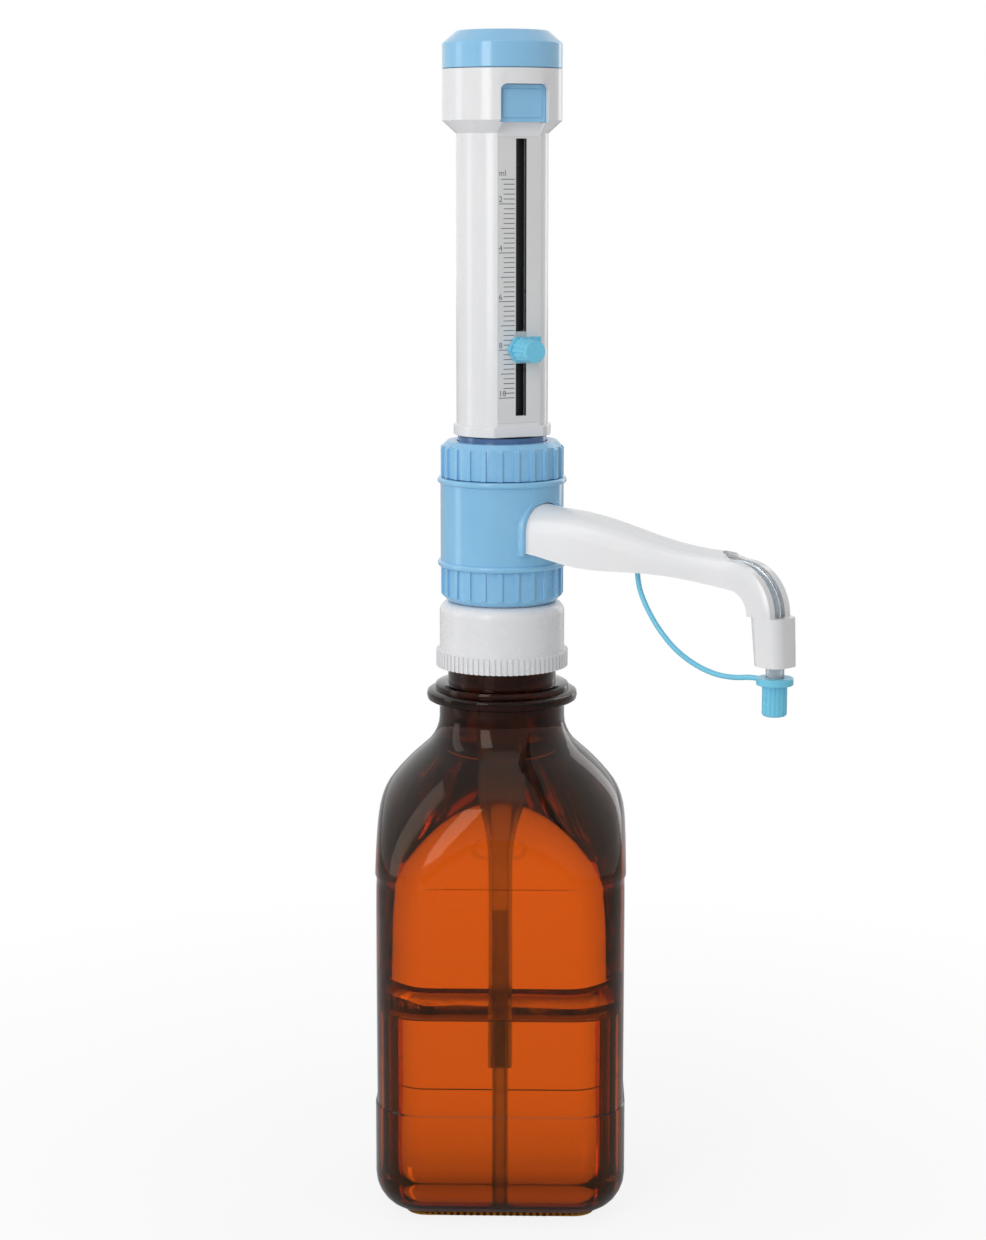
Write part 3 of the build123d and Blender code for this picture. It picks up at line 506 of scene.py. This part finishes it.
def squareRadius(angle, half, corner):
    fold = abs((angle + math.pi / 4) % (math.pi / 2) - math.pi / 4)
    straight = half - corner
    if half * math.tan(fold) <= straight:
        return half / math.cos(fold)
    return (straight * (math.cos(fold) + math.sin(fold))
            + math.sqrt(max(corner ** 2 - (straight * (math.cos(fold) - math.sin(fold))) ** 2, 0)))


def domeRadiusAt(height, settings, inset):
    arc = settings["domeRadius"] - inset
    rise = max(height - settings["domeHeight"], 0)
    return math.sqrt(arc ** 2 - rise ** 2) - settings["domeOffset"]


def cornerRings(angles, radius, bend, low, inset):
    return [(radius, low + bend * (1 - math.sin(math.radians(angle))),
             inset + bend * (1 - math.cos(math.radians(angle)))) for angle in angles]


# each ring is its radius, its height and how far it lies inside the outer square
def glassRings(settings):
    low, high, sunk = settings["label"]
    base, foot, wall, beyond = (settings[key] for key in ("base", "foot", "wall", "beyond"))
    footOut = settings["footInset"]
    footIn = footOut + settings["footWidth"]
    rings = [(beyond, foot, footIn), (beyond, 0, footIn), (beyond, 0, footOut)]
    rings += cornerRings(settings["baseAngles"], beyond, base, foot, 0)
    rings += [(beyond, low, 0), (beyond, low + sunk, sunk), (beyond, settings["waist"], sunk)]
    for step in settings["domeSteps"]:
        rings.append((domeRadiusAt(step, settings, 0), step, sunk if step < high else 0))
    outer = settings["neck"] + settings["rings"] + settings["mouth"]
    rings += [(radius, height, 0) for radius, height in outer]
    rings += [(radius - wall, height, wall) for radius, height in reversed(settings["neck"][:-1])]
    for step in reversed(settings["domeSteps"]):
        rings.append((domeRadiusAt(step, settings, wall), step, wall))
    rings += [(beyond, settings["waist"], wall), (beyond, settings["waistInside"], wall)]
    rings += cornerRings(settings["floorAngles"], beyond, base - wall, settings["floor"], wall)
    return rings


def addGlass(settings):
    shape = bmesh.new()
    softness = settings["softness"]
    loops = []                   # each ring's edges, once each and always in the same order
    for radius, height, inset in glassRings(settings):
        verts = bmesh.ops.create_circle(shape, segments=settings["sides"], radius=1)["verts"]
        for vert in verts:
            angle = math.atan2(vert.co.y, vert.co.x)
            limit = squareRadius(angle, settings["half"] - inset,
                                 max(settings["corner"] - inset, settings["leastCorner"]))
            near = max(softness - abs(radius - limit), 0) / softness
            reachOut = min(radius, limit) - near ** 2 * softness / 4
            angle += math.radians(bottleTurn)
            vert.co = (reachOut * math.cos(angle) * mm, reachOut * math.sin(angle) * mm, height * mm)
        loops.append(list(dict.fromkeys(edge for vert in verts for edge in vert.link_edges)))
    for first, second in zip(loops, loops[1:]):
        bmesh.ops.bridge_loops(shape, edges=first + second)
    for loop in (loops[0], loops[-1]):
        bmesh.ops.edgeloop_fill(shape, edges=loop)
    bmesh.ops.recalc_face_normals(shape, faces=shape.faces)
    piece = addPiece("bottleGlass", shape, finishes["amber_glass"], "bottle",
                     settings["smooth"])
    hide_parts("bottle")


addGlass(glassSettings)

bumpSettings = {"half": 37.2 * mm, "corner": 20.2 * mm, "height": 0.75 * mm, "pitch": 2.6 * mm,
                "size": 0.85 * mm, "squash": 0.85, "around": 8, "rows": 5}


# one bump after another along a square with round corners, under the bottle's foot
def addFootBumps(settings):
    shape = bmesh.new()
    corner = settings["corner"]
    straight = settings["half"] - corner
    arc = math.pi / 2 * corner
    side = 2 * straight + arc
    count = round(4 * side / settings["pitch"])
    for step in range(count):
        along = step * 4 * side / count
        quarter, rest = divmod(along, side)
        if rest < 2 * straight:
            spot = Vector((settings["half"], rest - straight, 0))
        else:
            angle = (rest - 2 * straight) / corner
            spot = Vector((straight + corner * math.cos(angle), straight + corner * math.sin(angle), 0))
        spot.rotate(Matrix.Rotation(quarter * math.pi / 2 + math.radians(bottleTurn), 3, "Z"))
        made = bmesh.ops.create_uvsphere(shape, u_segments=settings["around"], v_segments=settings["rows"],
                                         radius=settings["size"])
        bmesh.ops.scale(shape, vec=(1, 1, settings["squash"]), verts=made["verts"])
        bmesh.ops.translate(shape, vec=spot + Vector((0, 0, settings["height"])), verts=made["verts"])
    addPiece("footBumps", shape, finishes["amber_glass"], "bottle")


addFootBumps(bumpSettings)

print("softened edges")
softSettings = {
    "widths": {"top_cap": 0.45, "plunger_head": 0.35, "mounting_nut": 0.25, "cylinder_nut": 0.25,
               "pointer_plate": 0.3, "thumb_knob": 0.25, "calibration_cover": 0.15, "sleeve_ring": 0.3,
               "discharge_arm": 0.3, "valve_block": 0.2},
    "merge": 1e-6,
    "flat": 0.6,                 # degrees, below which two faces count as one
    "sharp": 28,                 # degrees, above which an edge is softened
    "steps": 3,
    "smooth": 30,
}
bodyOf = {node: body for body, group in frame["record"]["behaviour"]["bodies"].items() for node in group}


def addSoftened(name, width, settings):
    shape = bmesh.new()
    shape.from_mesh(nodes[name].data)
    bmesh.ops.transform(shape, matrix=nodes[name].matrix_world, verts=shape.verts)
    bmesh.ops.remove_doubles(shape, verts=shape.verts, dist=settings["merge"])
    bmesh.ops.dissolve_limit(shape, angle_limit=math.radians(settings["flat"]), verts=shape.verts,
                             edges=shape.edges)
    piece = addPiece(name + "Soft", shape, finishes[slotOf[name]], bodyOf[name],
                     settings["smooth"])
    bevel = piece.modifiers.new("softEdges", "BEVEL")
    bevel.width = width * mm
    bevel.segments = settings["steps"]
    bevel.limit_method = "ANGLE"
    bevel.angle_limit = math.radians(settings["sharp"])
    bevel.harden_normals = True
    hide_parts(name)


for name, width in softSettings["widths"].items():
    addSoftened(name, width, softSettings)

print("floor and light")


def addMath(tree, operation, first, second):
    node = tree.nodes.new("ShaderNodeMath")
    node.operation = operation
    tree.links.new(first, node.inputs[0])
    tree.links.new(second, node.inputs[1])
    return node.outputs["Value"]


# the camera sees a white that starts near the bottle, and the lamps light a plain pale floor
floorSettings = {"half": 6.0, "colour": (0.86, 0.86, 0.86), "roughness": 0.6, "near": 0.12, "far": 0.45,
                 "nearGlow": 0.86}


def addFloor(settings):
    shape = bmesh.new()
    bmesh.ops.create_grid(shape, x_segments=2, y_segments=2, size=settings["half"])
    mesh = bpy.data.meshes.new("floor")
    shape.to_mesh(mesh)
    shape.free()
    material, tree, shader, place = startMaterial("paleFloor")
    shader.inputs["Base Color"].default_value = (*settings["colour"], 1)
    shader.inputs["Roughness"].default_value = settings["roughness"]
    length = tree.nodes.new("ShaderNodeVectorMath")
    length.operation = "LENGTH"
    tree.links.new(place, length.inputs[0])
    fade = tree.nodes.new("ShaderNodeMapRange")
    fade.inputs["From Min"].default_value = settings["near"]
    fade.inputs["From Max"].default_value = settings["far"]
    fade.inputs["To Min"].default_value = settings["nearGlow"]
    fade.inputs["To Max"].default_value = 1.0
    tree.links.new(length.outputs["Value"], fade.inputs["Value"])
    path = tree.nodes.new("ShaderNodeLightPath").outputs
    seen = addMath(tree, "MAXIMUM", path["Is Camera Ray"], path["Is Transmission Ray"])
    share = addMath(tree, "MULTIPLY", seen, fade.outputs["Result"])
    glow = tree.nodes.new("ShaderNodeEmission")
    mix = tree.nodes.new("ShaderNodeMixShader")
    tree.links.new(share, mix.inputs["Fac"])
    tree.links.new(shader.outputs["BSDF"], mix.inputs[1])
    tree.links.new(glow.outputs["Emission"], mix.inputs[2])
    tree.links.new(mix.outputs["Shader"], tree.nodes["Material Output"].inputs["Surface"])
    mesh.materials.append(material)
    floor = bpy.data.objects.new("floor", mesh)
    bpy.context.collection.objects.link(floor)


addFloor(floorSettings)

worldSettings = {"light": 0.46, "seen": 1.0}


def addWorld(settings):
    world = bpy.data.worlds.new("studio")
    bpy.context.scene.world = world
    world.use_nodes = True
    tree = world.node_tree
    background = tree.nodes["Background"]
    background.inputs["Color"].default_value = (1, 1, 1, 1)
    path = tree.nodes.new("ShaderNodeLightPath").outputs
    seen = addMath(tree, "MAXIMUM", path["Is Camera Ray"], path["Is Transmission Ray"])
    strength = tree.nodes.new("ShaderNodeMapRange")
    strength.inputs["To Min"].default_value = settings["light"]
    strength.inputs["To Max"].default_value = settings["seen"]
    tree.links.new(addMath(tree, "MAXIMUM", seen, path["Is Glossy Ray"]), strength.inputs["Value"])
    tree.links.new(strength.outputs["Result"], background.inputs["Strength"])


addWorld(worldSettings)

lampAim = (0, 0, 0.25)
lampSettings = [
    {"name": "keyBox", "place": (0.3, -1.15, 0.75), "size": (0.4, 1.1), "power": 5.2},
    {"name": "leftBox", "place": (-0.75, -0.75, 0.6), "size": (0.3, 1.2), "power": 1.6},
    {"name": "rimBox", "place": (-0.15, 1.15, 0.6), "size": (0.3, 1.2), "power": 1.4},
    {"name": "topBox", "place": (0.2, -0.2, 1.4), "size": (0.8, 0.8), "power": 1.2},
]


def addLamp(settings):
    data = bpy.data.lights.new(settings["name"], "AREA")
    data.shape = "RECTANGLE"
    data.size, data.size_y = settings["size"]
    data.energy = settings["power"]
    lamp = bpy.data.objects.new(settings["name"], data)
    lamp.location = settings["place"]
    aim = Vector(lampAim) - Vector(settings["place"])
    lamp.rotation_euler = aim.to_track_quat("-Z", "Y").to_euler()
    bpy.context.collection.objects.link(lamp)


for lamp in lampSettings:
    addLamp(lamp)

bpy.context.scene.view_settings.view_transform = "Standard"
